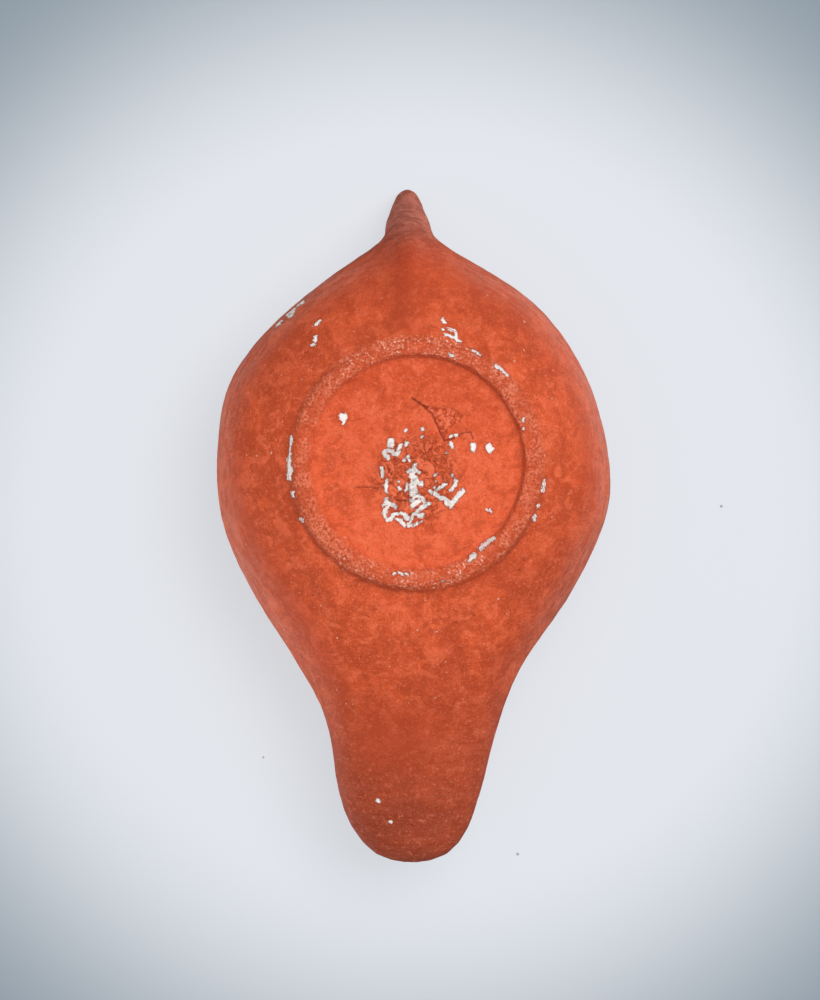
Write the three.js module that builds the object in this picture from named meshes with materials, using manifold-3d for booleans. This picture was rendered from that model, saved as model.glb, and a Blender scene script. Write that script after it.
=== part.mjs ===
// A terracotta oil lamp: a pear-shaped, two-part moulded clay body on a low ring foot, with a
// broad round-ended nozzle in front, a solid lug handle at the back and a cotton wick.
//
// Millimetres, +Z up. The foot rests on z = 0, the nozzle points along -Y and the handle along +Y.
// The origin is at the middle of the lamp's length and width, on the plane that the foot rests on.
import * as THREE from "three";
import { LoftGeometry } from "three/addons/geometries/LoftGeometry.js";
import { mergeVertices } from "three/addons/utils/BufferGeometryUtils.js";
import Module from "manifold-3d";

const wasm = await Module();
wasm.setup();

// ---- Driving dimensions ----
const lampLength = 142.5; // nozzle tip to handle tip
const bodyWidth = 81.8; // across the widest part of the body
const nozzleWidth = 33.4; // across the nozzle, where its sides start
const seamHeight = 20; // where the two moulded halves meet
const coverRise = 11.5; // from the seam to the crest of the ridge on top
const handleRise = 18.5; // from that crest to the top of the lug
const wall = 4; // clay thickness of both halves
const jointGap = 0.3; // clearance between pieces that touch

// The foot ring
const footCentreX = -0.8;
const footDiameter = 51.2;
const footBandWidth = 4;
const footHeight = 1.5;
const footStep = 0.6; // base left outside the ring

// The discus, the channel and the holes through them
const discusDiameter = 50;
const discusDepth = 3.2; // from the ridge's crest to the sunken floor
const channelWidth = 15.6;
const ridgeWidth = 2.6; // the outer slope of the ridge around the sunken floor
const fillingHoleDiameter = 10;
const fillingCollarWidth = 2.2;
const wickHoleDiameter = 14;
const wickHoleMargin = 2.3; // floor left between the hole and the ridge
const noseShoulder = 1.6; // clay left in front of the ridge at the nozzle's tip

const lutingThickness = 0.6; // the slip that joins the halves

// The wick
const wickDiameter = 4.4;
const wickLean = 60; // degrees above horizontal where it leaves the hole
const wickStickOut = 9; // length showing above the channel's floor
const wickClearance = 1; // to the hole's front edge and over the nozzle's floor

const ringPoints = 88; // points round each section of the body

// ---- Derived ----
const halfBody = bodyWidth / 2;
const halfNozzle = nozzleWidth / 2;
const footRadius = footDiameter / 2;
const lowerRimZ = seamHeight - lutingThickness / 2 - jointGap;
const upperRimZ = seamHeight + lutingThickness / 2 + jointGap;
const baseZ = footHeight + jointGap;
const chamberFloorZ = baseZ + wall;
const crestZ = seamHeight + coverRise;
const discusZ = crestZ - discusDepth;
const ceilingZ = discusZ - wall;
const handleTopZ = crestZ + handleRise;

// y at a share of the length, from the nozzle's tip (0) to the handle's (1)
const at = (share) => (share - 0.5) * lampLength;
const footCentreY = at(0.581);
const wickRim = wickHoleDiameter / 2 + wickHoleMargin;
const wickHoleY = at(0) + noseShoulder + ridgeWidth + wickRim;

// ---- Plan outlines ----

// Hand-finished clay isn't quite symmetric: [share of the length, how far the middle strays to +X].
const sway = [[0, 0.1], [0.09, 0.7], [0.21, -0.1], [0.3, 0.5], [0.45, -0.1], [0.52, -0.2], [0.7, 0.6], [0.84, -0.3], [0.95, 1.1]];

function swayAt(y) {
  const share = y / lampLength + 0.5;
  const k = sway.findIndex(([s]) => s > share);
  if (k === 0) return sway[0][1];
  if (k < 0) return sway[sway.length - 1][1];
  const [[s0, x0], [s1, x1]] = [sway[k - 1], sway[k]];
  return x0 + (x1 - x0) * THREE.MathUtils.smoothstep(share, s0, s1);
}

// ringPoints points round a closed curve through [half width, y] stations and their mirror
// images, listed from the nozzle's end to the back: counterclockwise seen from above.
function outlineOf(stations) {
  const right = stations.map(([x, y]) => new THREE.Vector3(x, y, 0));
  const left = stations.slice(1, -1).reverse().map(([x, y]) => new THREE.Vector3(-x, y, 0));
  const curve = new THREE.CatmullRomCurve3([...right, ...left], true, "centripetal");
  curve.arcLengthDivisions = 800;
  return curve.getSpacedPoints(ringPoints).slice(0, ringPoints);
}

// The same number of points round a circle.
function circleOf(radius) {
  return Array.from({ length: ringPoints }, (_, i) => {
    const turn = (i / ringPoints) * 2 * Math.PI;
    return new THREE.Vector3(footCentreX + radius * Math.sin(turn), footCentreY - radius * Math.cos(turn), 0);
  });
}

// An outline moved in by a distance, or out by a negative one.
function inwards(curve, distance) {
  return curve.map((p, i) => {
    const before = curve[(i + curve.length - 1) % curve.length];
    const after = curve[(i + 1) % curve.length];
    const along = after.clone().sub(before).normalize();
    return new THREE.Vector3(p.x - along.y * distance, p.y + along.x * distance, 0);
  });
}

// The nozzle's end, its sides, and the flanks out past the widest part.
const front = [
  [0, at(0)],
  [halfNozzle * 0.38, at(0.0075)],
  [halfNozzle * 0.68, at(0.0405)],
  [halfNozzle * 0.88, at(0.1)],
  [halfNozzle, at(0.172)],
  [halfNozzle + (halfBody - halfNozzle) * 0.1, at(0.228)],
  [halfNozzle + (halfBody - halfNozzle) * 0.29, at(0.293)],
  [halfNozzle + (halfBody - halfNozzle) * 0.705, at(0.4)],
  [halfNozzle + (halfBody - halfNozzle) * 0.945, at(0.491)],
  [halfBody, at(0.568)],
  [halfBody * 0.925, at(0.691)],
  [halfBody * 0.733, at(0.779)],
];

// The outside draws the back out to the handle; the chamber closes in a round back instead.
const outside = outlineOf([
  ...front,
  [halfBody * 0.515, at(0.836)],
  [halfBody * 0.358, at(0.867)],
  [halfBody * 0.215, at(0.896)],
  [halfBody * 0.14, at(0.91)],
  [0, at(0.919)],
]);
const chamber = inwards(outlineOf([...front, [halfBody * 0.42, at(0.836)], [0, at(0.864)]]), wall);

// The ridge's inner edge: a round discus that opens into the channel and ends round the wick hole.
const discusRadius = discusDiameter / 2;
const channelHalf = channelWidth / 2;
const discusFrontY = footCentreY - discusRadius;
const rim = outlineOf([
  [0, wickHoleY - wickRim],
  [wickRim * 0.71, wickHoleY - wickRim * 0.71],
  [wickRim, wickHoleY],
  [wickRim * 0.94, wickHoleY + wickRim * 0.7],
  [channelHalf, wickHoleY + wickRim * 1.6],
  [channelHalf, discusFrontY - 9],
  [channelHalf + 3.4, discusFrontY],
  [discusRadius * 0.8, footCentreY - discusRadius * 0.6],
  [discusRadius, footCentreY],
  [discusRadius * 0.71, footCentreY + discusRadius * 0.71],
  [0, footCentreY + discusRadius],
]);
const crest = inwards(rim, -ridgeWidth);

// ---- Solids ----

// A section a share of the way from one outline to the other. z is a height, or a height at each
// point. Outlines stray with the clay; a circle (fixed) doesn't.
function section(from, to, share, z, fixed = false) {
  return from.map((a, i) => {
    const p = a.clone().lerp(to[i], share);
    const x = p.x + swayAt(p.y) * (fixed ? share : 1);
    return new THREE.Vector3(x, p.y, typeof z === "function" ? z(p) : z);
  });
}

const flat = (outline, z) => section(outline, outline, 0, z);

function solid(geometry) {
  const bare = new THREE.BufferGeometry().setAttribute("position", geometry.attributes.position);
  const merged = mergeVertices(bare.setIndex(geometry.index), 1e-4);
  return new wasm.Manifold(
    new wasm.Mesh({
      numProp: 3,
      vertProperties: merged.attributes.position.array,
      triVerts: new Uint32Array(merged.index.array),
    }),
  );
}

// A solid through sections, from the lowest to the highest.
const loft = (sections) => solid(new LoftGeometry(sections, { capStart: true, capEnd: true }));

// A profile of [radius, z], turned about the foot's upright axis, or about one through (x, y).
function turned(profile, segments = 32, x = footCentreX, y = footCentreY) {
  const geometry = new THREE.LatheGeometry(profile.map(([r, z]) => new THREE.Vector2(r, z)), segments);
  return solid(geometry.rotateX(Math.PI / 2).translate(x, y, 0));
}

// The bowl is shallow beside the foot and upright at the seam. Under the nozzle it's a bit higher.
const nozzleLift = 4;
function bowlHeight(share, floorZ) {
  const rise = 1 - Math.sqrt(1 - share ** 1.35);
  return (p) => {
    const along = THREE.MathUtils.smoothstep(-p.y, footRadius - footCentreY, -wickHoleY);
    const lift = nozzleLift * along * (1 - rise) * Math.min(1, share * 4);
    return floorZ + (lowerRimZ - floorZ) * rise + lift;
  };
}

function bowl(from, to, floorZ, shares) {
  return shares.map((share) => section(from, to, share, bowlHeight(share, floorZ), true));
}

// The shoulder is upright at the seam and nearly flat where it meets the ridge.
const shoulderTopZ = crestZ - 1.1;
function shoulder(outline) {
  return [0, 0.04, 0.12, 0.26, 0.45, 0.7, 1].map((share) => {
    const rise = (1 - (1 - share) ** 2.2) ** 0.6;
    return section(outline, crest, share, upperRimZ + (shoulderTopZ - upperRimZ) * rise);
  });
}

const outerShares = [0, 0.1, 0.28, 0.45, 0.6, 0.74, 0.85, 0.93, 0.98, 1];
const innerShares = [0, 0.3, 0.55, 0.74, 0.88, 0.97, 1];

function lowerHalf() {
  const form = bowl(circleOf(footRadius + footStep), outside, baseZ, outerShares);
  const hollow = bowl(circleOf(footRadius - wall), chamber, chamberFloorZ, innerShares);
  return loft(form).subtract(loft([...hollow, flat(chamber, seamHeight)]));
}

function upperHalf() {
  const ridge = [section(crest, rim, 0.3, crestZ - 0.1), section(crest, rim, 0.5, crestZ)];
  const well = [
    flat(inwards(rim, 0.8), discusZ),
    flat(rim, discusZ + 0.8),
    section(rim, crest, 0.1, crestZ - 0.8),
    section(rim, crest, 0.45, crestZ),
    section(rim, crest, 0.45, crestZ + 2),
  ];
  const vault = [
    flat(chamber, seamHeight),
    section(chamber, rim, 0.04, upperRimZ + (ceilingZ - upperRimZ) * 0.45),
    section(chamber, rim, 0.2, upperRimZ + (ceilingZ - upperRimZ) * 0.85),
    section(chamber, rim, 0.5, ceilingZ),
  ];
  const hole = fillingHoleDiameter / 2;
  const collar = [
    [0, ceilingZ + wall / 2],
    [hole + fillingCollarWidth, ceilingZ + wall / 2],
    [hole + fillingCollarWidth, discusZ + 0.2],
    [hole + fillingCollarWidth * 0.6, discusZ + 1],
    [0, discusZ + 1],
  ];
  const drill = (radius) => [[0, seamHeight], [radius, seamHeight], [radius, crestZ + 2], [0, crestZ + 2]];
  return loft([...shoulder(outside), ...ridge])
    .subtract(loft(well))
    .subtract(loft(vault))
    .add(turned(collar))
    .subtract(turned(drill(hole)))
    .subtract(turned(drill(wickHoleDiameter / 2), 32, swayAt(wickHoleY), wickHoleY));
}

function footRing() {
  const inner = footRadius - footBandWidth;
  const worn = 0.45; // rounding of its edges
  return turned(
    [
      [inner, worn * 1.4],
      [inner + worn, 0],
      [footRadius - worn, 0],
      [footRadius, worn],
      [footRadius, footHeight],
      [inner, footHeight],
      [inner, worn * 1.4],
    ],
    64,
  );
}

function lutingSlip() {
  const [low, high] = [seamHeight - lutingThickness / 2, seamHeight + lutingThickness / 2];
  const outline = inwards(outside, 0.5);
  const opening = inwards(chamber, 0.6); // squeezed a little way into the chamber
  return loft([flat(outline, low), flat(outline, high)]).subtract(
    loft([flat(opening, low - 1), flat(opening, high + 1)]),
  );
}

// Level sections of the lug: [share of its height, back edge, front edge, half width].
const lug = [
  [0.13, 17, 21, 2.6],
  [0.2, 14, 21.5, 4.6],
  [0.29, 11.4, 21.5, 5.8],
  [0.4, 9.3, 21.2, 6.4],
  [0.52, 7.6, 20.6, 6.3],
  [0.64, 5.6, 18.4, 5.4],
  [0.76, 3.3, 14.8, 4.4],
  [0.86, 1.4, 11, 3.6],
  [0.93, 0.3, 8.4, 3],
  [0.97, 0, 7.1, 2.5],
  [0.99, 0.7, 6, 1.7],
  [1, 2, 4.4, 0.7],
];

function lugHandle() {
  const around = 24;
  const sections = lug.map(([share, back, ahead, half]) =>
    Array.from({ length: around }, (_, i) => {
      const turn = (i / around) * 2 * Math.PI;
      const y = at(1) - (back + ahead) / 2 - ((ahead - back) / 2) * Math.cos(turn);
      return new THREE.Vector3(swayAt(y) + half * Math.sin(turn), y, share * handleTopZ);
    }),
  );
  // It's fitted to the body's outside, a joint gap away.
  const grown = inwards(outside, -jointGap);
  const base = circleOf(footRadius + footStep + jointGap);
  const body = loft([...bowl(base, grown, baseZ, outerShares), ...shoulder(grown)]);
  return loft(sections)
    .subtract(body.translate([0, 0, -jointGap]))
    .subtract(body.translate([0, 0, jointGap]));
}

// The wick runs from its burning end down through the hole, then along the nozzle to the chamber.
function wick() {
  const lean = THREE.MathUtils.degToRad(wickLean);
  const out = new THREE.Vector3(0, -Math.cos(lean), Math.sin(lean));
  const exitY = wickHoleY - wickHoleDiameter / 2 + wickDiameter / 2 + wickClearance;
  const exit = new THREE.Vector3(swayAt(wickHoleY), exitY, discusZ);
  const floorFrontY = footCentreY - footRadius + wall;
  const onFloor = (y) => {
    const share = THREE.MathUtils.clamp((floorFrontY - y) / (floorFrontY - chamber[0].y), 0, 1);
    const point = new THREE.Vector3(0, y, 0);
    return point.setZ(bowlHeight(share, chamberFloorZ)(point) + wickDiameter / 2 + wickClearance);
  };
  const route = new THREE.CatmullRomCurve3([
    exit.clone().addScaledVector(out, wickStickOut),
    exit,
    exit.clone().addScaledVector(out, -6),
    exit.clone().addScaledVector(out, -10.5).add(new THREE.Vector3(0, 1.2, 0)),
    onFloor(wickHoleY + wickHoleDiameter * 0.65),
    onFloor(at(0.28)),
    onFloor(at(0.4)),
    onFloor(at(0.5)),
    onFloor(at(0.58)),
  ]);
  const round = new THREE.Shape().absarc(0, 0, wickDiameter / 2, 0, 2 * Math.PI);
  return solid(new THREE.ExtrudeGeometry(round, { steps: 24, curveSegments: 6, extrudePath: route }));
}

// ---- Assembly ----

const clay = { color: 0xc4532f, roughness: 0.85, metalness: 0 };
const slip = { color: 0xb84a2a, roughness: 0.85, metalness: 0 };
const cotton = { color: 0xe8e0cc, roughness: 0.95, metalness: 0 };

const lamp = new THREE.Group();

function add(name, made, finish) {
  const mesh = made.getMesh();
  const geometry = new THREE.BufferGeometry();
  geometry.setAttribute("position", new THREE.BufferAttribute(mesh.vertProperties, 3));
  geometry.setIndex(new THREE.BufferAttribute(mesh.triVerts, 1));
  geometry.computeVertexNormals();
  const node = new THREE.Mesh(geometry, new THREE.MeshStandardMaterial(finish));
  node.name = name;
  lamp.add(node);
}

add("lower_half", lowerHalf(), clay);
add("upper_half", upperHalf(), clay);
add("foot_ring", footRing(), clay);
add("luting_slip", lutingSlip(), slip);
add("lug_handle", lugHandle(), clay);
add("wick", wick(), cotton);

export default lamp;
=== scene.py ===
import math

import bmesh
import bpy
import numpy as np
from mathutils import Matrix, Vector, noise


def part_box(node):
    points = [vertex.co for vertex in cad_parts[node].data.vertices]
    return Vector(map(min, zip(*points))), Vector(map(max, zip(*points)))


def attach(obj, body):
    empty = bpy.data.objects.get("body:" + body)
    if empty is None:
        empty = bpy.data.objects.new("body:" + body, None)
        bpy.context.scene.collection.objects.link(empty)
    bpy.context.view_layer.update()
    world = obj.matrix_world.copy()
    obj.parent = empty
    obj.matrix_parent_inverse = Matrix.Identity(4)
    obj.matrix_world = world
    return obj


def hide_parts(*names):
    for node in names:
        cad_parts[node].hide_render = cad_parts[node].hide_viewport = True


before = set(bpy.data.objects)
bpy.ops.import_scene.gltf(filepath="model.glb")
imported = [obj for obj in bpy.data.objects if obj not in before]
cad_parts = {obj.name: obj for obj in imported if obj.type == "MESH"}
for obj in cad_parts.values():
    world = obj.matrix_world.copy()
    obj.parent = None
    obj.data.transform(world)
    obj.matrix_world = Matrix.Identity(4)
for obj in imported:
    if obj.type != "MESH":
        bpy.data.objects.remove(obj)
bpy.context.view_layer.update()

# A closed terracotta oil lamp, seen from below: the foot, the underside of the body and the nozzle.
# Lengths in the tables below are in millimetres. Blender's own are in metres.
MM = 0.001

CLAY_NODES = ["lower_half", "upper_half", "foot_ring", "lug_handle", "luting_slip"]
FOOT_LOW, FOOT_HIGH = [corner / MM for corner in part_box("foot_ring")]
FOOT_X = (FOOT_LOW.x + FOOT_HIGH.x) / 2
FOOT_Y = (FOOT_LOW.y + FOOT_HIGH.y) / 2
FOOT_RADIUS = (FOOT_HIGH.x - FOOT_LOW.x) / 2
FOOT_BAND = 4.0
LOWER_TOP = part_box("lower_half")[1].z / MM
UPPER_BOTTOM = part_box("upper_half")[0].z / MM
LUG_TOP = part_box("lug_handle")[1].z / MM


# ---- Camera, stage and lights ----

def make_camera():
    """Straight below the lamp, looking up, with the handle at the top of the view."""
    data = bpy.data.cameras.new("camera")
    data.lens = 120
    data.sensor_width = 36
    camera = bpy.data.objects.new("camera", data)
    camera.location = (0.52 * MM, 4.05 * MM, -672.3 * MM)
    camera.rotation_euler = (0, math.pi, 0)
    bpy.context.collection.objects.link(camera)
    bpy.context.scene.camera = camera


def sheet(name, size, height, facing_down, finish):
    """A level sheet that is seen from one side and takes shadows, but stops no light."""
    bpy.ops.mesh.primitive_plane_add(size=size, location=(0, 0, height))
    plane = bpy.context.object
    plane.name = name
    if facing_down:
        bpy.ops.object.mode_set(mode="EDIT")
        bpy.ops.mesh.flip_normals()
        bpy.ops.object.mode_set(mode="OBJECT")
    plane.data.materials.append(finish)
    plane.visible_diffuse = False
    plane.visible_glossy = False
    plane.visible_transmission = False
    plane.visible_shadow = False


def area_light(name, place, aim, size, power):
    data = bpy.data.lights.new(name, "AREA")
    data.shape = "DISK"
    data.size = size
    data.energy = power
    light = bpy.data.objects.new(name, data)
    light.location = place
    light.rotation_euler = (Vector(aim) - Vector(place)).to_track_quat("-Z", "Y").to_euler()
    bpy.context.collection.objects.link(light)


def make_world(strength):
    world = bpy.data.worlds.new("studio")
    world.use_nodes = True
    background = world.node_tree.nodes["Background"]
    background.inputs["Color"].default_value = (0.93, 0.965, 1, 1)
    background.inputs["Strength"].default_value = strength
    bpy.context.scene.world = world


# ---- Shader nodes as expressions ----

class Value:
    """A number that varies over a surface. An expression on it adds Math nodes."""

    def __init__(self, finish, socket):
        self.finish = finish
        self.socket = socket

    def maths(self, operation, a, b=0.0):
        return self.finish.add("ShaderNodeMath", {"operation": operation}, {0: a, 1: b})

    def __add__(self, other):
        return self.maths("ADD", self, other)

    def __sub__(self, other):
        return self.maths("SUBTRACT", self, other)

    def __rsub__(self, other):
        return self.maths("SUBTRACT", other, self)

    def __mul__(self, other):
        return self.maths("MULTIPLY", self, other)

    def __pow__(self, other):
        return self.maths("POWER", self, other)

    def __abs__(self):
        return self.maths("ABSOLUTE", self)

    __radd__ = __add__
    __rmul__ = __mul__


class Finish:
    """A material, built node by node on a Principled shader."""

    def __init__(self, name):
        self.material = bpy.data.materials.new(name)
        self.material.use_nodes = True
        self.nodes = self.material.node_tree.nodes
        self.shader = self.nodes["Principled BSDF"]

    def add(self, kind, settings=None, sockets=None, output=0):
        node = self.nodes.new(kind)
        for name, value in (settings or {}).items():
            if name == "stops":
                self.set_stops(node.color_ramp, value)
            else:
                setattr(node, name, value)
        for name, value in (sockets or {}).items():
            self.feed(node.inputs[name], value)
        return Value(self, node.outputs[output])

    def set_stops(self, ramp, stops):
        while len(ramp.elements) < len(stops):
            ramp.elements.new(0.5)
        for element, (place, shade) in zip(ramp.elements, stops):
            element.position = place
            element.color = (*shade, 1)

    def feed(self, socket, value):
        if isinstance(value, Value):
            self.material.node_tree.links.new(value.socket, socket)
        elif hasattr(socket.default_value, "__len__") and len(socket.default_value) == 4:
            socket.default_value = (*value, 1)
        else:
            socket.default_value = value

    def set(self, sockets):
        for name, value in sockets.items():
            self.feed(self.shader.inputs[name], value)

    def place(self):
        """Object coordinates in millimetres."""
        coordinates = self.add("ShaderNodeTexCoord", output="Object")
        sockets = {0: coordinates, "Scale": 1 / MM}
        return self.add("ShaderNodeVectorMath", {"operation": "SCALE"}, sockets)

    def split(self, vector):
        node = self.add("ShaderNodeSeparateXYZ", sockets={0: vector}).socket.node
        return [Value(self, output) for output in node.outputs]

    def join(self, x, y, z):
        return self.add("ShaderNodeCombineXYZ", sockets={0: x, 1: y, 2: z})

    def fade(self, value, low, high):
        """0 at low, 1 at high, smooth in between."""
        return self.add(
            "ShaderNodeMapRange",
            {"interpolation_type": "SMOOTHSTEP"},
            {"Value": value, "From Min": low, "From Max": high},
        )

    def cloud(self, vector, grain, detail=3.0, rough=0.55, warp=0.0):
        """Cloudy noise around 0.5, with patches about grain mm across."""
        sockets = {"Vector": vector, "Scale": 1 / grain, "Detail": detail}
        sockets.update({"Roughness": rough, "Distortion": warp})
        return self.add("ShaderNodeTexNoise", {}, sockets)

    def mix(self, factor, a, b, blend="MIX"):
        settings = {"data_type": "RGBA", "blend_type": blend}
        return self.add("ShaderNodeMix", settings, {0: factor, 6: a, 7: b}, output=2)

    def cells(self, vector, scale, output="Distance"):
        """How far each place is from the nearest of scattered points, or that point's own colour."""
        return self.add("ShaderNodeTexVoronoi", {}, {"Vector": vector, "Scale": scale}, output=output)

    def attribute(self, name):
        return self.add("ShaderNodeAttribute", {"attribute_name": name}, output="Fac")

    def bump(self, height):
        """Relief from a height in millimetres."""
        normal = self.add("ShaderNodeBump", {}, {"Strength": 1.0, "Distance": MM, "Height": height})
        self.set({"Normal": normal})


# ---- Where the marks on the underside are ----
# Places are (across, along) from the middle of the foot, in mm: across towards +X, along towards +Y.

# White lime scale: how wide each flake is to either side, and the line it follows.
LIME = [
    (0.62, [(5.2, 4.4), (5.2, 3.6)]),
    (0.36, [(6.2, 1.4), (6.5, 2.2), (5.9, 2.6), (5.0, 2.4), (4.5, 1.8)]),
    (0.4, [(5.7, 0.9), (5.8, 1.2)]),
    (0.24, [(3.0, 3.6), (3.7, 2.8), (4.0, 1.5)]),
    (0.2, [(3.7, 2.2), (3.1, 2.5)]),
    (0.42, [(2.1, 4.0), (2.2, 3.8)]),
    (0.2, [(2.3, 6.4), (2.1, 6.6)]),
    (0.24, [(-1.2, 6.8), (-1.3, 6.8)]),
    (0.17, [(-1.2, 5.4), (-1.2, 5.3)]),
    (0.2, [(2.4, 0.4), (1.9, 1.4), (1.4, 0.5)]),
    (0.2, [(0.7, -0.5), (0.2, -0.2)]),
    (0.27, [(7.1, -1.0), (7.0, -1.9), (6.8, -2.8)]),
    (0.3, [(5.9, -3.4), (6.3, -4.5), (6.1, -5.8)]),
    (0.4, [(1.7, -1.7), (0.8, -1.3), (-0.5, -1.9)]),
    (0.62, [(0.8, -2.5), (0.2, -3.6)]),
    (0.7, [(0.5, -3.4), (0.8, -4.6), (0.5, -5.8)]),
    (0.4, [(-0.2, -4.0), (-1.0, -4.2)]),
    (0.38, [(1.1, -6.4), (0.2, -6.8), (-0.6, -6.8)]),
    (0.55, [(0.8, -7.6), (0.6, -8.6)]),
    (0.5, [(0.0, -8.0), (-0.3, -7.8)]),
    (0.33, [(-1.1, -7.0), (-1.6, -7.9)]),
    (0.18, [(3.6, -3.8), (3.7, -3.7)]),
    (0.26, [(3.5, -4.9), (3.3, -5.3)]),
    (0.2, [(2.4, -5.6), (1.9, -5.2), (2.0, -4.4)]),
    (0.38, [(-2.5, -8.3), (-1.4, -8.8), (-0.5, -9.5), (0.1, -10.3), (-0.7, -10.8), (-1.2, -10.5)]),
    (0.36, [(6.1, -7.3), (5.8, -8.2), (4.9, -8.4), (4.3, -8.9)]),
    (0.2, [(6.8, -8.6), (6.1, -8.3)]),
    (0.4, [(5.9, -9.0), (6.4, -9.9), (6.3, -10.7)]),
    (0.28, [(4.8, -10.5), (3.3, -10.1), (2.1, -10.7), (1.7, -11.4)]),
    (0.5, [(2.3, -10.8), (1.9, -11.1)]),
    (0.3, [(5.9, -11.5), (4.7, -11.1), (3.4, -11.6), (2.4, -12.7)]),
    (0.26, [(0.6, -10.4), (1.0, -11.4), (1.8, -12.8)]),
    (0.18, [(1.6, -12.7), (0.3, -12.5), (-1.0, -11.8)]),
    (0.38, [(-2.8, -5.7), (-3.0, -5.9)]),
    (0.25, [(-3.6, -5.0), (-3.7, -4.9)]),
    (0.33, [(-4.3, -5.3), (-5.7, -4.4)]),
    (0.2, [(-3.7, -2.5), (-4.1, -2.2)]),
    (0.14, [(-3.8, -3.7), (-3.8, -3.8)]),
    (0.42, [(-3.8, -6.2), (-4.8, -7.1), (-5.8, -7.2), (-6.2, -8.2), (-7.0, -8.7)]),
    (0.46, [(-7.0, -8.5), (-7.9, -7.3), (-8.8, -6.2), (-9.5, -5.6)]),
    (0.33, [(-8.0, -3.6), (-7.7, -4.4), (-7.1, -5.4)]),
    (0.18, [(-7.2, -2.4), (-7.2, -2.6)]),
    (0.34, [(-6.9, 3.9), (-7.3, 3.3)]),
    (0.2, [(-6.9, 5.3), (-7.4, 5.6)]),
    (0.24, [(-7.9, 5.7), (-8.1, 5.7)]),
    (0.14, [(-6.2, 2.2), (-6.3, 2.2)]),
    (0.5, [(-11.5, 3.5), (-11.5, 2.8)]),
    (0.75, [(-14.7, 3.1), (-14.8, 2.9)]),
    (0.2, [(-14.3, -9.5), (-14.8, -9.7), (-15.1, -10.0)]),
    (0.15, [(-14.9, -9.2), (-14.8, -9.7)]),
    (0.7, [(14.9, 9.4), (14.9, 9.1)]),
    (0.3, [(14.8, 8.6), (14.8, 8.1)]),
    (0.42, [(-12.9, -17.1), (-13.8, -16.4)]),
    (0.3, [(-13.8, -16.4), (-15.5, -15.1)]),
    (0.45, [(-11.0, -18.8), (-11.7, -18.6)]),
    (0.2, [(-11.2, -19.0), (-10.6, -19.7)]),
    (0.2, [(25.3, 5.4), (25.5, 3.1), (25.7, 0.4)]),
    (0.42, [(25.8, 0.4), (25.6, -1.4), (25.8, -3.2)]),
    (0.32, [(25.0, -6.1), (24.9, -6.7)]),
    (0.18, [(23.4, -11.3), (23.1, -11.9)]),
    (0.32, [(-25.8, -3.5), (-25.6, -5.6)]),
    (0.2, [(-24.7, -8.2), (-24.5, -8.9)]),
    (0.33, [(-23.9, -10.8), (-23.7, -11.4)]),
    (0.26, [(-5.3, 28.9), (-5.5, 28.3)]),
    (0.17, [(-5.3, 26.6), (-5.4, 26.5)]),
    (0.33, [(-6.5, 26.8), (-7.6, 26.4), (-7.9, 25.9), (-7.7, 24.9)]),
    (0.15, [(-5.6, 25.5), (-7.2, 24.8), (-8.7, 24.0)]),
    (0.16, [(-11.2, 22.7), (-12.9, 21.7)]),
    (0.15, [(-15.8, 19.8), (-17.2, 18.8), (-18.3, 17.6)]),
    (0.3, [(20.4, 28.3), (19.8, 28.9)]),
    (0.33, [(20.4, 25.7), (20.6, 25.0)]),
    (0.28, [(20.8, 24.1), (21.1, 24.0)]),
    (0.3, [(24.6, 32.8), (23.4, 33.5)]),
    (0.32, [(26.8, 30.9), (25.3, 32.0)]),
    (0.26, [(26.3, 30.2), (25.4, 31.2)]),
    (0.24, [(28.7, 28.6), (27.8, 29.4)]),
    (0.36, [(7.9, -69.0), (7.8, -69.4)]),
    (0.2, [(5.4, -73.7), (5.2, -73.9)]),
    (0.16, [(4.9, -22.4), (4.3, -22.2)]),
    (0.2, [(3.6, -22.0), (2.9, -22.4)]),
    (0.15, [(2.2, -22.3), (1.7, -22.6)]),
    (0.2, [(-5.1, -23.8), (-5.4, -23.8)]),
    (0.17, [(-21.6, 8.9), (-21.6, 8.4)]),
    (0.2, [(-21.6, 7.0), (-21.6, 6.8)]),
    (0.2, [(-6.6, 21.9), (-7.2, 21.5)]),
]

# Cracks and scratches: depth, half width and line.
CRACKS = [
    (0.4, 0.22, [(1.0, 13.1), (-1.4, 11.6), (-3.2, 9.9), (-3.9, 8.2)]),
    (0.25, 0.2, [(-3.9, 8.2), (-4.9, 6.0), (-5.6, 4.6)]),
    (0.25, 0.18, [(-6.0, 4.6), (-7.6, 5.0), (-9.2, 6.0), (-11.0, 6.3), (-11.4, 4.7)]),
    (0.2, 0.16, [(-9.6, 5.6), (-9.7, 4.4)]),
    (0.22, 0.18, [(9.0, -5.0), (6.8, -5.5), (5.5, -6.7), (4.0, -7.6), (1.6, -7.6)]),
    (0.2, 0.16, [(13.2, -5.0), (9.4, -5.0)]),
    (0.14, 0.16, [(-1.4, -11.5), (-2.4, -11.6), (-3.1, -12.6), (-3.0, -13.6)]),
    (0.16, 0.16, [(5.4, -0.4), (5.6, -1.6), (4.9, -2.6)]),
    (0.14, 0.16, [(-6.6, 1.0), (-7.0, -0.8), (-6.6, -2.4)]),
    (0.14, 0.16, [(-4.0, 1.6), (-5.4, 1.2), (-6.2, 2.0)]),
    (0.12, 0.16, [(-0.8, 0.6), (-2.6, 0.3), (-3.9, 0.9)]),
]

# The torn hollow beside the crack.
GOUGE = [
    (-1.4, 11.6),
    (-4.0, 11.2),
    (-7.0, 11.0),
    (-9.4, 9.6),
    (-8.4, 8.1),
    (-6.4, 7.4),
    (-5.6, 4.8),
    (-3.8, 8.2),
    (-3.2, 9.9),
]

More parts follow.
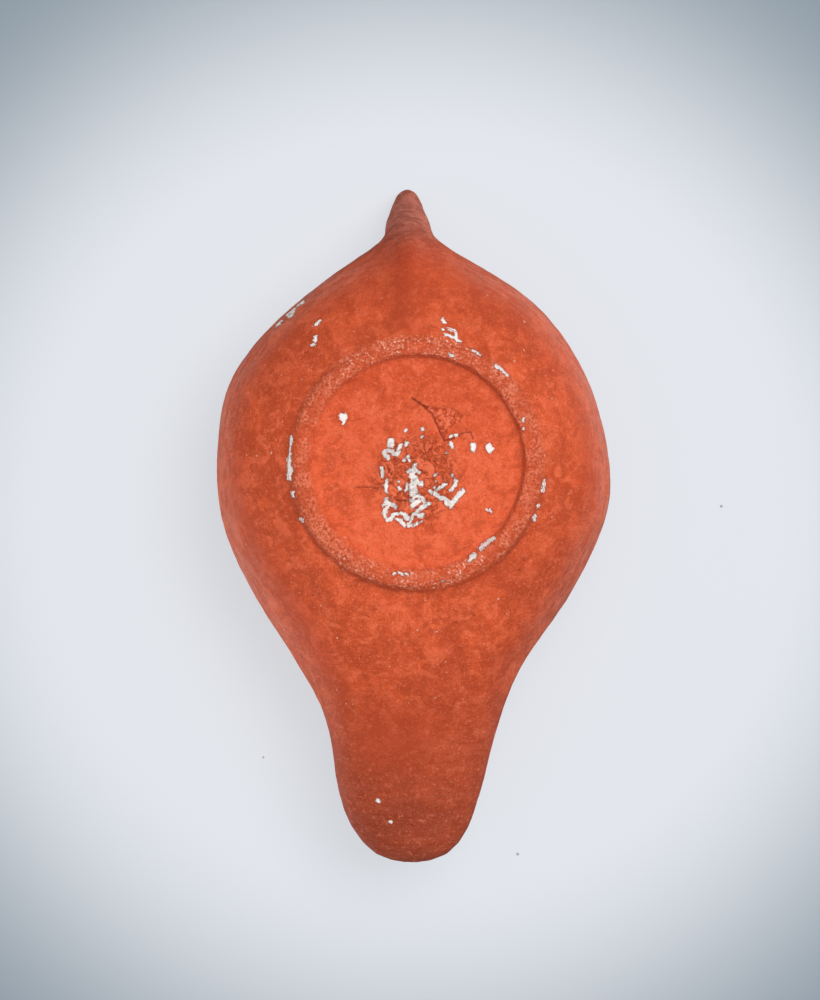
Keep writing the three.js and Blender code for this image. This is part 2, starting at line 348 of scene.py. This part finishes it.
# Soft finger and tool dents: depth, half width and line.
DENTS = [
    (0.3, 1.5, [(16.0, 0.2), (12.6, 1.6), (9.5, 4.4)]),
    (0.2, 1.2, [(17.6, 4.6), (15.2, 4.2)]),
    (0.25, 1.6, [(10.6, -1.2), (9.6, -3.4)]),
    (0.35, 2.6, [(-30.0, -16.0), (-33.0, -9.0)]),
    (0.3, 2.2, [(31.0, 8.0), (32.4, 16.0)]),
    (0.3, 2.4, [(-26.0, -22.0), (-22.0, -29.0)]),
    (0.35, 2.4, [(24.0, -24.0), (19.0, -32.0)]),
]


def line_distance(places, line):
    """How far each place is from a line of points."""
    nearest = np.full(len(places), np.inf)
    for start, end in zip(line, line[1:]):
        start, end = np.array(start), np.array(end)
        along = end - start
        share = np.clip((places - start) @ along / (along @ along), 0, 1)
        gap = places - start - share[:, None] * along
        nearest = np.minimum(nearest, np.hypot(gap[:, 0], gap[:, 1]))
    return nearest


def inside(places, outline):
    """Which places a closed outline holds."""
    held = np.zeros(len(places), bool)
    for (x0, y0), (x1, y1) in zip(outline, outline[1:] + outline[:1]):
        crosses = (places[:, 1] > y0) != (places[:, 1] > y1)
        level = np.where(crosses, (places[:, 1] - y0) / (y1 - y0 if y1 != y0 else 1), 0)
        held ^= crosses & (places[:, 0] < x0 + (x1 - x0) * level)
    return held


def smoothstep(value, low, high):
    share = np.clip((value - low) / (high - low), 0, 1)
    return share * share * (3 - 2 * share)


# ---- Mesh helpers ----

def only(piece):
    bpy.ops.object.select_all(action="DESELECT")
    piece.select_set(True)
    bpy.context.view_layer.objects.active = piece


def apply(piece, kind, **settings):
    """Adds a modifier to a piece and applies it."""
    only(piece)
    modifier = piece.modifiers.new(kind.lower(), kind)
    for name, value in settings.items():
        setattr(modifier, name, value)
    bpy.ops.object.modifier_apply(modifier=modifier.name)


def places_of(piece):
    flat = np.empty(len(piece.data.vertices) * 3)
    piece.data.vertices.foreach_get("co", flat)
    return flat.reshape(-1, 3) / MM


def normals_of(piece):
    flat = np.empty(len(piece.data.vertices) * 3)
    piece.data.vertices.foreach_get("normal", flat)
    return flat.reshape(-1, 3)


def move(piece, places):
    piece.data.vertices.foreach_set("co", (places * MM).ravel())
    piece.data.update()


def bumps(places, grain, octaves=1):
    """Smooth noise from about -1 to 1 with lumps about grain mm across."""
    return np.array([noise.fractal(Vector(place) / grain, 1.0, 2.0, octaves) for place in places])


def from_foot(places):
    return places[:, :2] - (FOOT_X, FOOT_Y)


# ---- Clay ----

GROWTH = 0.25  # closes the joints between the clay pieces while they become one skin
SKIN_GRAIN = 0.54  # how fine the one skin's faces are
JOINT_GAP = 0.3  # how far past a node's own edge the skin is cut
LIME_REACH = 3.0  # how far from a flake its distance is still kept
LUG_JOINT = (0, 50, 31)  # a place on the joint of body and lug
LUG_LEAN = (0, 0.938, 0.347)  # which way that joint faces


def clay_skin():
    """One skin over all the clay, as the maker smoothed it before firing."""
    copies = []
    for name in CLAY_NODES:
        copy = bpy.data.objects.new("clay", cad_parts[name].data.copy())
        bpy.context.collection.objects.link(copy)
        copy.data.materials.clear()
        only(copy)
        bpy.ops.object.mode_set(mode="EDIT")
        bpy.ops.mesh.select_all(action="SELECT")
        bpy.ops.mesh.remove_doubles(threshold=0.002 * MM)
        bpy.ops.object.mode_set(mode="OBJECT")
        apply(copy, "DISPLACE", strength=GROWTH * MM, mid_level=0)
        copies.append(copy)
    only(copies[0])
    for copy in copies:
        copy.select_set(True)
    bpy.ops.object.join()
    skin = bpy.context.object
    apply(skin, "REMESH", mode="VOXEL", voxel_size=SKIN_GRAIN * MM, use_smooth_shade=True)
    apply(skin, "DISPLACE", strength=-GROWTH * MM, mid_level=0)
    apply(skin, "SMOOTH", factor=0.5, iterations=4)
    return skin


def smooth_where(piece, weights, iterations):
    """Smooths a piece where the weights say so."""
    group = piece.vertex_groups.new(name="where")
    weights = np.clip(weights, 0, 1)
    for index in np.flatnonzero(weights > 0.02):
        group.add([int(index)], float(weights[index]), "REPLACE")
    apply(piece, "SMOOTH", factor=0.5, iterations=iterations, vertex_group="where")
    piece.vertex_groups.clear()


def blend_joints(skin):
    """Softens the underside, the root of the lug and, in places, the edges of the foot."""
    places = places_of(skin)
    smooth_where(skin, 1 - smoothstep(places[:, 2], UPPER_BOTTOM, UPPER_BOTTOM + 4), 12)
    places = places_of(skin)
    spot = from_foot(places)
    radius = np.hypot(*spot.T)
    lug_root = np.exp(-(((places[:, 1] - 57.5) / 4.5) ** 2) - (places[:, 0] / 13) ** 2) * 1.5
    lug_root *= smoothstep(places[:, 2], 2, 8) * (1 - smoothstep(places[:, 2], 27, 37))
    turn = np.column_stack([spot / np.maximum(radius, 1)[:, None] * 20, 0 * radius])
    worn = 0.03 + 0.3 * smoothstep(bumps(turn, 14, 2), 0, 0.5)
    worn = np.maximum(worn, 0.4 * (lime_gap(spot) < 0.5))
    worn_side = 0.12 * smoothstep(spot @ (0.9, -0.45) / np.maximum(radius, 1), 0.5, 0.9)
    outer_step = np.exp(-(((radius - FOOT_RADIUS - 0.3) / 1.4) ** 2)) * worn
    inner_step = np.exp(-(((radius - FOOT_RADIUS + FOOT_BAND) / 1.4) ** 2)) * worn_side
    steps = np.maximum(outer_step, inner_step) * (places[:, 2] < 3)
    smooth_where(skin, np.maximum(lug_root, steps), 500)


def lime_gap(places):
    """How far each place on the underside is from the nearest lime flake: negative within one."""
    gap = np.full(len(places), LIME_REACH)
    for half_width, line in LIME:
        gap = np.minimum(gap, line_distance(places, line) - half_width)
    return gap


def refine_marks(skin):
    """Splits the faces around the marks, so that they keep their shape."""
    mesh = bmesh.new()
    mesh.from_mesh(skin.data)
    centres = np.array([face.calc_center_median() for face in mesh.faces]) / MM
    looks_down = np.array([face.normal.z < -0.2 for face in mesh.faces])
    places = from_foot(centres)
    near = (lime_gap(places) < 0.5) | inside(places, GOUGE)
    for _, half_width, line in CRACKS:
        near |= line_distance(places, line) < half_width + 0.4
    chosen = np.flatnonzero(near & looks_down & (centres[:, 2] < LOWER_TOP))
    mesh.faces.ensure_lookup_table()
    edges = {edge for index in chosen for edge in mesh.faces[index].edges}
    bmesh.ops.subdivide_edges(mesh, edges=list(edges), cuts=2, use_grid_fill=True)
    mesh.to_mesh(skin.data)
    mesh.free()


def sculpt(skin):
    """The unevenness of hand-finished clay, and the wear of the underside."""
    places = places_of(skin)
    normals = normals_of(skin)
    spot = from_foot(places)
    radius = np.hypot(*spot.T)
    height = places[:, 2]
    disc_radius = FOOT_RADIUS - FOOT_BAND
    below = smoothstep(-normals[:, 2], 0.15, 0.5)
    below *= 1 - smoothstep(height, LOWER_TOP - 6, LOWER_TOP - 1)
    disc = (1 - smoothstep(radius, disc_radius - 1, disc_radius)) * (height < 4)

    # Broad waves, small lumps and fine grain all over.
    rise = 0.3 * bumps(places, 17) * smoothstep(height, 0, 5)
    rise += 0.09 * bumps(places, 5, 2) + 0.03 * bumps(places, 1.5, 2)

    # The foot's band is rough and chipped, and merges with the keel at the back.
    band = smoothstep(radius, disc_radius - 0.5, disc_radius + 0.5)
    band *= (1 - smoothstep(radius, FOOT_RADIUS - 0.3, FOOT_RADIUS + 0.5)) * (height < 1.2)
    chips = 0.25 * np.maximum(0, bumps(places, 3.2, 2)) + 0.14 * np.maximum(0, bumps(places, 0.9, 2))
    rise -= band * chips
    behind = smoothstep(spot[:, 1] / np.maximum(radius, 1), 0.86, 0.99)
    saddle = 1 - smoothstep(radius, FOOT_RADIUS, FOOT_RADIUS + 6)
    saddle *= smoothstep(radius, FOOT_RADIUS - 1.5, FOOT_RADIUS)
    rise += 1.1 * behind * saddle * below
    keel = np.exp(-((places[:, 0] - 1.2) / 3.0) ** 2)
    keel *= smoothstep(spot[:, 1], FOOT_RADIUS - 2, FOOT_RADIUS + 3)
    rise += 0.7 * keel * below

    # Knife trimming left flat strips along the steep sides.
    side = smoothstep(height, 6, 11) * (1 - smoothstep(height, 17, 20)) * below
    strips = bumps(np.column_stack([places[:, 0], places[:, 1], height * 3]), 9)
    rise -= 0.3 * side * np.abs(strips)

    # The middle of the disc is crusted and cracked.
    crust = 1 - smoothstep(np.hypot(spot[:, 0] + 0.5, (spot[:, 1] + 3) / 1.15), 6.5, 10)
    crust *= disc
    rise += crust * 0.10 * bumps(places, 2.2, 3)
    rise -= crust * 0.22 * (1 - smoothstep(np.abs(bumps(places + 40, 3.4, 3)), 0.0, 0.09))

    for depth, half_width, line in DENTS:
        rise -= depth * below * np.exp(-((line_distance(spot, line) / half_width) ** 2))
    for depth, half_width, line in CRACKS:
        wander = 0.12 * bumps(places, 1.0)
        rise -= depth * below * np.exp(-(((line_distance(spot, line) + wander) / half_width) ** 2))
    torn = inside(spot, GOUGE) * below
    rise -= torn * (0.45 + 0.3 * bumps(places, 1.1, 3))

    lime = lime_gap(spot)
    rise += 0.1 * below * (1 - smoothstep(lime, -0.15, 0.1))
    places = places + normals * rise[:, None]
    places[:, 2] = np.maximum(places[:, 2], 0)
    move(skin, places)

    # 0 where there is no lime near, so that the edges of later cuts stay clear of it.
    scale = skin.data.attributes.new("lime", "FLOAT", "POINT")
    scale.data.foreach_set("value", np.where(below > 0.3, LIME_REACH - lime, 0).astype(np.float32))
    torn = torn * 0.5
    for depth, half_width, line in CRACKS:
        closeness = np.exp(-((line_distance(spot, line) / half_width / 1.2) ** 2)) * below
        torn = np.maximum(torn, closeness * min(1, depth / 0.25))
    tear = skin.data.attributes.new("torn", "FLOAT", "POINT")
    tear.data.foreach_set("value", torn.astype(np.float32))


def cut(piece, place, normal, name):
    """Cuts off the part of a piece in front of a plane, as a new closed piece."""
    normal = Vector(normal).normalized()
    bpy.ops.mesh.primitive_cube_add(size=0.4, location=Vector(place) * MM + normal * 0.2)
    block = bpy.context.object
    block.rotation_euler = normal.to_track_quat("Z", "Y").to_euler()
    part = bpy.data.objects.new(name, piece.data.copy())
    bpy.context.collection.objects.link(part)
    apply(part, "BOOLEAN", operation="INTERSECT", solver="MANIFOLD", object=block)
    apply(piece, "BOOLEAN", operation="DIFFERENCE", solver="MANIFOLD", object=block)
    bpy.data.objects.remove(block)
    return part


def clay_pieces(finish):
    """Shapes the one skin, then parts it at the joints into a closed piece for each clay node."""
    skin = clay_skin()
    blend_joints(skin)
    refine_marks(skin)
    sculpt(skin)
    only(skin)
    bpy.ops.object.shade_smooth()
    whole = bpy.data.objects.new("whole", skin.data.copy())
    bpy.context.collection.objects.link(whole)
    pieces = {
        "lug_handle": cut(skin, LUG_JOINT, LUG_LEAN, "lug"),
        "foot_ring": cut(skin, (0, 0, FOOT_HIGH.z - JOINT_GAP), (0, 0, -1), "foot"),
        "upper_half": cut(skin, (0, 0, UPPER_BOTTOM - JOINT_GAP), (0, 0, 1), "upper_body"),
        "luting_slip": cut(skin, (0, 0, LOWER_TOP + JOINT_GAP), (0, 0, 1), "slip_joint"),
        "lower_half": skin,
    }
    skin.name = "lower_body"
    for node, piece in pieces.items():
        only(piece)
        bpy.ops.object.shade_smooth_by_angle(angle=math.radians(50))
        # The skin's own shading, so that the joints don't show.
        apply(
            piece,
            "DATA_TRANSFER",
            object=whole,
            use_loop_data=True,
            data_types_loops={"CUSTOM_NORMAL"},
            loop_mapping="POLYINTERP_NEAREST",
        )
        piece.data.materials.clear()
        piece.data.materials.append(finish)
        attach(piece, "lamp")
        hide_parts(node)
    bpy.data.objects.remove(whole)


def terracotta():
    """Fired clay: slip colour and grain, then wear, dirt, dust, grit and lime over it."""
    finish = Finish("terracotta")
    place = finish.place()
    x, y, z = finish.split(place)
    across, along = x - FOOT_X, y - FOOT_Y
    radius = (across * across + along * along) ** 0.5
    low = 1 - finish.fade(z, 4, 8)

    # Colour of the clay: a redder slip, worn paler on the disc, and painted shade that darkens it
    # towards the nozzle's end.
    large = finish.cloud(place, 24, 3, 0.5, 0.4)
    patches = finish.cloud(place, 6, 6, 0.68, 0.5)
    grain = finish.cloud(place, 1.1, 4, 0.7)
    fine = finish.cloud(place, 0.4, 2, 0.6)
    disc = (1 - finish.fade(radius, FOOT_RADIUS - 6, FOOT_RADIUS + 2)) * low
    deep = (0.49, 0.068, 0.020)
    warm = (0.62, 0.092, 0.029)
    pale = (0.70, 0.106, 0.036)
    colour = finish.mix(finish.fade(patches, 0.45, 0.57), deep, warm)
    colour = finish.mix(finish.fade(disc * 0.8 + large * 0.5, 0.2, 1.15), colour, pale)
    mottle = finish.cloud(place, 3.2, 4, 0.6, 0.6)
    behind = disc * finish.fade(along + mottle * 14, 4, 26)
    colour = finish.mix(behind * 0.6, colour, (0.52, 0.066, 0.020))
    colour = finish.mix(finish.fade(mottle, 0.5, 0.62) * 0.5, colour, (0.80, 0.15, 0.065))
    colour = finish.mix(finish.fade(1 - mottle, 0.51, 0.63) * 0.5, colour, (0.43, 0.052, 0.017))
    smudges = finish.fade(1 - large, 0.5, 0.64) * (1 - disc)
    colour = finish.mix(smudges * 0.35, colour, (0.36, 0.045, 0.015))
    # Painted shade: the nozzle darkens towards its end, where it turns away from the light.
    nozzle = finish.fade(y * -1, 22, 66)
    nozzle_end_shade = nozzle * (0.5 + 0.5 * finish.fade(large, 0.3, 0.7))
    colour = finish.mix(nozzle_end_shade, colour, (0.25, 0.033, 0.010))
    colour = finish.mix(finish.fade(grain, 0.52, 0.72) * 0.45, colour, (0.86, 0.20, 0.10))
    colour = finish.mix(finish.fade(1 - grain, 0.54, 0.74) * 0.5, colour, (0.38, 0.045, 0.014))
    colour = finish.mix(finish.fade(fine, 0.52, 0.72) * 0.4, colour, (0.34, 0.042, 0.014))
    colour = finish.mix(finish.fade(1 - fine, 0.54, 0.72) * 0.3, colour, (0.88, 0.22, 0.11))

    # Small light specks, dark pits and fine scratches.
    sockets = {"Vector": place, "Scale": 1.1, "Detail": 2}
    shift = finish.add("ShaderNodeTexNoise", {}, sockets, output="Color")
    shaken = finish.add("ShaderNodeVectorMath", {"operation": "ADD"}, {0: place, 1: shift})
    specks = finish.cells(shaken, 0.55)
    chance = finish.split(finish.cells(shaken, 0.55, "Color"))
    size = specks - chance[2] * chance[2] * 0.1
    light_specks = (1 - finish.fade(size, 0.0, 0.07)) * finish.fade(chance[0], 0.45, 0.55)
    dark_specks = (1 - finish.fade(size, 0.0, 0.1)) * finish.fade(chance[1], 0.55, 0.65)
    grazed = finish.join(across * 0.35 + along * 0.2, along - across * 0.4, z)
    scratch = finish.cloud(grazed, 0.5, 2, 0.5, 1.5)
    nicked = finish.join(along * 0.3, across + along * 0.25, z * 0.5)
    nick = finish.cloud(nicked, 0.45, 2, 0.5, 1.0)
    marks = finish.fade(scratch, 0.64, 0.76) * 0.55 + finish.fade(nick, 0.64, 0.76) * 0.45
    marks = marks * (1 - nozzle * 0.7)
    shown = marks * (0.35 + finish.fade(large, 0.4, 0.65) * 0.65)
    colour = finish.mix(shown, colour, (0.82, 0.24, 0.13))
    colour = finish.mix(finish.fade(1 - nick, 0.66, 0.78) * 0.5, colour, (0.3, 0.036, 0.012))
    colour = finish.mix(dark_specks * 0.6, colour, (0.22, 0.03, 0.012))
    colour = finish.mix(light_specks * (0.7 - nozzle * 0.4), colour, (0.86, 0.48, 0.36))

    # Painted shade: darker towards the handle, where the underside turns away from the light. The lug
    # is greyed in patches, a painted grazing sheen where it curves away.
    colour = finish.mix(finish.fade(y, 30, 56) * 0.45, colour, (0.42, 0.052, 0.017))
    grey_patches = finish.fade(mottle + grain, 0.88, 1.12)
    lug_grey_sheen = finish.mix(grey_patches, (0.33, 0.088, 0.058), (0.54, 0.17, 0.118))
    colour = finish.mix(finish.fade(y + patches * 8, 56, 68) * 0.82, colour, lug_grey_sheen)

    # Darker along a band beside the keel, from the foot to the lug, and along a line round the body's
    # turn.
    keel_darkening = 1 - finish.fade(abs(x - 2.6 + (patches - 0.5) * 6), 0.5, 4.5)
    keel_darkening = keel_darkening * finish.fade(y, 33, 42) * (1 - finish.fade(y, 54, 60))
    colour = finish.mix(keel_darkening * 0.5, colour, (0.36, 0.044, 0.015))
    turn_line = finish.fade(z, 5, 8) * (1 - finish.fade(z, 9, 12))
    turn_line = turn_line * finish.fade(large, 0.35, 0.6)
    colour = finish.mix(turn_line * 0.45, colour, (0.44, 0.055, 0.018))

    # Dust and knife streaks on the steep sides; their pinkish grey is partly a painted grazing sheen.
    turn = finish.add("ShaderNodeMath", {"operation": "ARCTAN2"}, {0: x, 1: y - 8})
    streak = finish.cloud(finish.join(turn * 11, radius * 1.6, z * 1.6), 1.6, 5, 0.7, 0.3)
    steep = finish.fade(z, 6, 15) * (1 - finish.fade(z, 20, 30) * 0.8)
    steep = steep * (1 - finish.fade(y, 48, 57))
    steep = steep * (1 - finish.fade(y * -1, 8, 40) * 0.85)
    dust = steep * (0.22 + finish.fade(streak, 0.42, 0.58) * 0.5)
    colour = finish.mix(dust, colour, (0.62, 0.21, 0.15))

    # The foot's rough band shows paler clay with grit.
    disc_radius = FOOT_RADIUS - FOOT_BAND
    band = finish.fade(radius, disc_radius - 0.4, disc_radius + 0.6)
    band = band * (1 - finish.fade(radius, FOOT_RADIUS - 0.6, FOOT_RADIUS + 0.8))
    band = band * (1 - finish.fade(z, 1.5, 2.5))
    grit = finish.cloud(place, 0.55, 3, 0.75)
    torn = finish.attribute("torn")
    band = band * (0.15 + finish.fade(mottle + patches, 0.85, 1.08) * 0.85)
    pale_grit = band * finish.fade(grit, 0.42, 0.62)
    dark_grit = band * finish.fade(1 - grit, 0.52, 0.64)
    colour = finish.mix(pale_grit * 0.65, colour, (0.80, 0.27, 0.16))
    colour = finish.mix(dark_grit * 0.7, colour, (0.34, 0.05, 0.02))
    ends = finish.fade(abs(along) + mottle * 8, 20, 26)
    colour = finish.mix(band * finish.fade(grit, 0.6, 0.67) * ends, colour, (0.88, 0.76, 0.68))

    # Painted shade in the corners on both sides of the band, at the steps of the foot.
    wander = (mottle - 0.5) * 1.6
    outer_step_shade = 1 - finish.fade(abs(radius + wander - FOOT_RADIUS - 0.3), 0.1, 0.65)
    outer_step_shade = outer_step_shade * finish.fade(along * -1 + mottle * 10, 4, 20) * 0.6
    inner_step_shade = 1 - finish.fade(abs(radius + wander - disc_radius - 0.1), 0.1, 0.6)
    inner_step_shade = inner_step_shade * finish.fade(across * -1 + along * 0.5 + mottle * 12, 4, 20) * 0.5
    colour = finish.mix((inner_step_shade + outer_step_shade) * low, colour, (0.34, 0.042, 0.014))

    # The torn hollow has paler and darker rags in it, and the cracks are dark.
    rags = finish.cloud(place, 1.3, 4, 0.75, 0.8)
    hollow = finish.fade(torn, 0, 0.5)
    colour = finish.mix(hollow * finish.fade(rags, 0.5, 0.6) * 0.5, colour, (0.84, 0.24, 0.13))
    colour = finish.mix(hollow * finish.fade(1 - rags, 0.46, 0.56) * 0.75, colour, (0.3, 0.04, 0.014))
    colour = finish.mix(finish.fade(torn, 0.5, 0.95) * 0.85, colour, (0.25, 0.034, 0.014))

    # The middle of the disc: paler and darker crusts of slip.
    from_crust = (across * across + (along + 3) * (along + 3)) ** 0.5
    crust = (1 - finish.fade(from_crust, 6, 11)) * low
    scab = finish.cloud(place, 1.8, 4, 0.7, 0.8)
    colour = finish.mix(crust * finish.fade(scab, 0.5, 0.6) * 0.5, colour, (0.80, 0.20, 0.10))
    colour = finish.mix(crust * finish.fade(1 - scab, 0.54, 0.68) * 0.35, colour, (0.44, 0.055, 0.018))
    rifts = crust * (1 - finish.fade(abs(scab - 0.47), 0.004, 0.03))
    colour = finish.mix(rifts * 0.4, colour, (0.28, 0.036, 0.014))

    # Lime: crisp flakes with ragged edges, in a thin dark outline of painted shadow.
    gap = LIME_REACH - finish.attribute("lime")
    ragged = gap + (finish.cloud(place, 0.8, 5, 0.8) - 0.5) * 2.2 - 0.04
    outline = (1 - finish.fade(ragged, 0.08, 0.34)) * 0.6
    lime = 1 - finish.fade(ragged, -0.02, 0.06)
    colour = finish.mix(outline, colour, (0.33, 0.045, 0.02))
    white = finish.mix(fine, (0.74, 0.64, 0.58), (0.95, 0.9, 0.87))
    colour = finish.mix(lime, colour, white)

    roughness = 0.74 + (patches - 0.5) * 0.25 + lime * 0.15
    finish.set({"Base Color": colour, "Roughness": roughness, "Specular IOR Level": 0.12})
    relief = patches * 0.2 + grain * 0.3 + fine * 0.16 + band * grit * 0.3
    relief = relief + streak * steep * 0.2 + lime * 0.08 + crust * scab * 0.35 - rifts * 0.15
    relief = relief - marks * 0.05 - dark_specks * 0.15 + light_specks * 0.08
    finish.bump(relief)
    return finish.material


# ---- Wick ----

# Its middle line, from the burning end down the hole and along the nozzle into the chamber.
WICK_DIAMETER = 4.4
PLIES = 4
PLY_TURN = 9  # the length over which a ply goes once round
PLY_STEP = 0.7  # between two rings of a ply
WICK_LINE = [
    (0.7, -65.7, 35.9),
    (0.7, -61.5, 28.3),
    (0.7, -58.5, 23.1),
    (0.6, -55.2, 19.2),
    (0.0, -48.9, 15.4),
    (0.0, -31.4, 11.4),
    (0.0, -14.2, 9.2),
    (0.0, 0.0, 9.0),
    (0.0, 11.4, 9.0),
]


def wick_piece(finish):
    """Plies twisted together round the middle line."""
    data = bpy.data.curves.new("wick_line", "CURVE")
    data.dimensions = "3D"
    spline = data.splines.new("NURBS")
    spline.points.add(len(WICK_LINE) - 1)
    for point, place in zip(spline.points, WICK_LINE):
        point.co = (*[p * MM for p in place], 1)
    spline.order_u = 3
    spline.use_endpoint_u = True
    spline.resolution_u = 24
    line = bpy.data.objects.new("wick_line", data)
    bpy.context.collection.objects.link(line)
    only(line)
    bpy.ops.object.convert(target="MESH")
    route = places_of(bpy.context.object)
    bpy.data.objects.remove(bpy.context.object)

    lengths = np.concatenate([[0], np.cumsum(np.linalg.norm(np.diff(route, axis=0), axis=1))])
    steps = np.arange(0, lengths[-1], PLY_STEP)
    middle = np.column_stack([np.interp(steps, lengths, route[:, axis]) for axis in range(3)])
    tangent = np.gradient(middle, axis=0)
    tangent /= np.linalg.norm(tangent, axis=1)[:, None]
    side = np.tile([1.0, 0, 0], (len(steps), 1))
    side -= (side * tangent).sum(1)[:, None] * tangent
    side /= np.linalg.norm(side, axis=1)[:, None]
    up = np.cross(tangent, side)
    plies = bpy.data.curves.new("wick", "CURVE")
    plies.dimensions = "3D"
    plies.bevel_depth = WICK_DIAMETER * 0.25 * MM
    plies.bevel_resolution = 3
    plies.use_fill_caps = True
    for ply in range(PLIES):
        turn = (steps / PLY_TURN + ply / PLIES) * 2 * math.pi
        offset = np.cos(turn)[:, None] * side + np.sin(turn)[:, None] * up
        offset *= WICK_DIAMETER * 0.235
        spline = plies.splines.new("POLY")
        spline.points.add(len(steps) - 1)
        for point, place in zip(spline.points, middle + offset):
            point.co = (*[p * MM for p in place], 1)
    wick = bpy.data.objects.new("wick_yarn", plies)
    bpy.context.collection.objects.link(wick)
    only(wick)
    bpy.ops.object.convert(target="MESH")
    wick = bpy.context.object
    bpy.ops.object.mode_set(mode="EDIT")
    bpy.ops.mesh.select_all(action="SELECT")
    bpy.ops.mesh.remove_doubles(threshold=0.001 * MM)
    bpy.ops.object.mode_set(mode="OBJECT")
    bpy.ops.object.shade_smooth()
    wick.data.materials.append(finish)
    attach(wick, "wick")
    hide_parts("wick")


def cotton():
    """Raw cotton, charred at the burning end."""
    finish = Finish("cotton")
    place = finish.place()
    z = finish.split(place)[2]
    fibre = finish.cloud(place, 0.5, 4, 0.65)
    colour = finish.mix(fibre, (0.62, 0.54, 0.40), (0.84, 0.79, 0.66))
    colour = finish.mix(finish.fade(z, 33.0, 36.2), colour, (0.02, 0.016, 0.014))
    finish.set({"Base Color": colour, "Roughness": 0.92, "Sheen Weight": 0.2})
    finish.bump(fibre * 0.2)
    return finish.material


# ---- The scene ----

def sheet_finish(name, centre, rim, reach, glow):
    """A pale paper with specks of dust, seen from its front only, from centre's colour to rim's."""
    finish = Finish(name)
    x, y, _ = finish.split(finish.place())
    distance = (x * x + y * y) ** 0.5
    colour = finish.mix(finish.fade(distance, *reach), centre, rim)
    chance = finish.split(finish.cells(finish.place(), 0.09, "Color"))
    dust = 1 - finish.fade(finish.cells(finish.place(), 0.09), 0.02, 0.035)
    dust = dust * finish.fade(chance[0], 0.7, 0.9)
    colour = finish.mix(dust * 0.6, colour, (0.02, 0.022, 0.025))
    finish.set({"Base Color": colour, "Roughness": 0.9, "Emission Color": colour})
    finish.set({"Emission Strength": glow})
    back = finish.add("ShaderNodeNewGeometry", output="Backfacing")
    clear = finish.add("ShaderNodeBsdfTransparent")
    front = Value(finish, finish.shader.outputs[0])
    seen = finish.add("ShaderNodeMixShader", {}, {0: back, 1: front, 2: clear})
    finish.feed(finish.nodes["Material Output"].inputs["Surface"], seen)
    return finish.material


make_camera()
bpy.context.scene.view_settings.view_transform = "Standard"
make_world(0.42)
floor_grey = (0.4, 0.405, 0.415)
floor_paper = sheet_finish("floor_paper", floor_grey, floor_grey, (400, 900), 1.0)
sheet("floor", 4, 0, False, floor_paper)
# The backdrop glows with its own colour and darkens towards its rim: a painted vignette shade.
backdrop_centre = (0.160, 0.166, 0.175)
backdrop_vignette_shade = (0.054, 0.066, 0.077)
backdrop_paper = sheet_finish("backdrop_paper", backdrop_centre, backdrop_vignette_shade, (78, 150), 3.6)
sheet("backdrop", 0.5, (LUG_TOP + 1.2) * MM, True, backdrop_paper)
area_light("key_below", (-0.2, 0.16, -0.78), (0, 0, 0.01), 0.45, 5.0)
area_light("fill_below", (0.05, 0.1, -0.9), (0, 0, 0.01), 0.9, 1.5)
area_light("key_above", (0.8, -0.5, 0.5), (0, 0, 0.02), 0.5, 7)
area_light("fill_above", (-0.8, 0.4, 0.45), (0, 0, 0.02), 0.7, 4)

clay_pieces(terracotta())
wick_piece(cotton())
